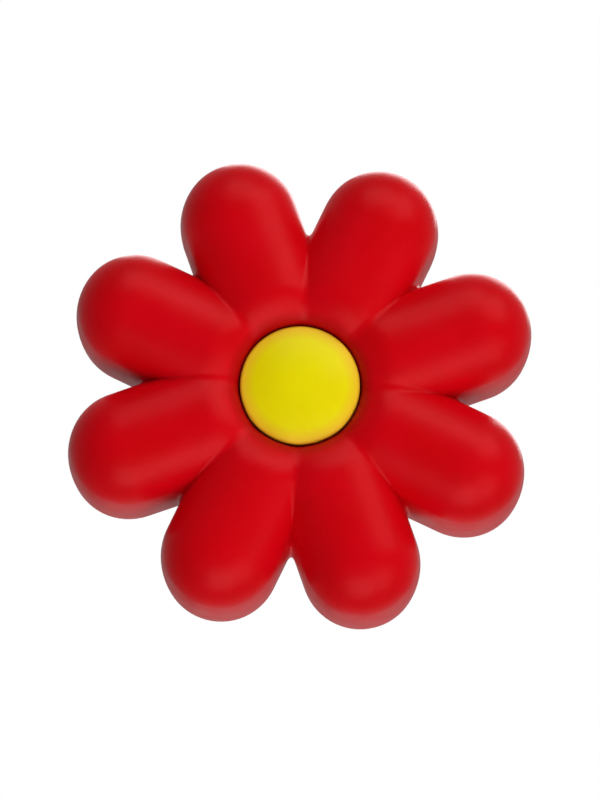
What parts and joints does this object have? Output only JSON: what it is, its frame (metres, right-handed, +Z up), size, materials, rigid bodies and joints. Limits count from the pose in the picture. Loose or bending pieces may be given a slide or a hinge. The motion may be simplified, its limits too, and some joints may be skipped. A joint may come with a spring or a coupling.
{
  "type": "racket string vibration dampener",
  "caption": "Flower-shaped silicone dampener with a domed centre button and a grooved spool that clips between a racket's two centre strings.",
  "frame": {"origin": "centre of the string groove, on the dampener's axis, in the plane of the racket's strings", "axes": "+Y along the dampener's axis from the flower face to the back flange, +Z up along the main strings towards the racket's tip"},
  "size_m": [0.0294, 0.0131, 0.0294],
  "materials": {
    "face_silicone": "matt moulded silicone, red",
    "grip_silicone": "matt moulded silicone, red",
    "button_silicone": "matt moulded silicone, yellow"
  },
  "bodies": {
    "root": {"flower_face": "face_silicone", "string_grip": "grip_silicone", "centre_button": "button_silicone"}
  },
  "joints": []
}
